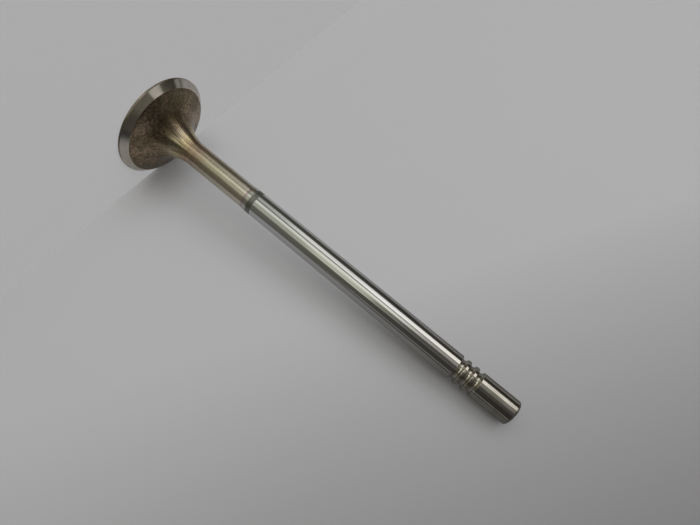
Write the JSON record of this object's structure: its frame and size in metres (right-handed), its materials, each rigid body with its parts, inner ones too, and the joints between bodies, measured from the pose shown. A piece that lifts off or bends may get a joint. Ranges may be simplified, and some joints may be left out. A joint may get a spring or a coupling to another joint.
{
  "type": "engine valve",
  "caption": "Poppet valve with a tulip-backed round head, 45 degree ground seat, plated stem, round keeper grooves and flat tip.",
  "frame": {"origin": "centre of the head's flat combustion face, on which the valve stands", "axes": "+Z along the stem's axis, from the head to the tip; the form is round, so X and Y are free"},
  "size_m": [0.0384, 0.0384, 0.1562],
  "materials": {
    "valve_steel": "ground and plated stem, ground seat, oxidised turned back and neck"
  },
  "bodies": {
    "root": {"engine_valve": "valve_steel"}
  },
  "joints": []
}
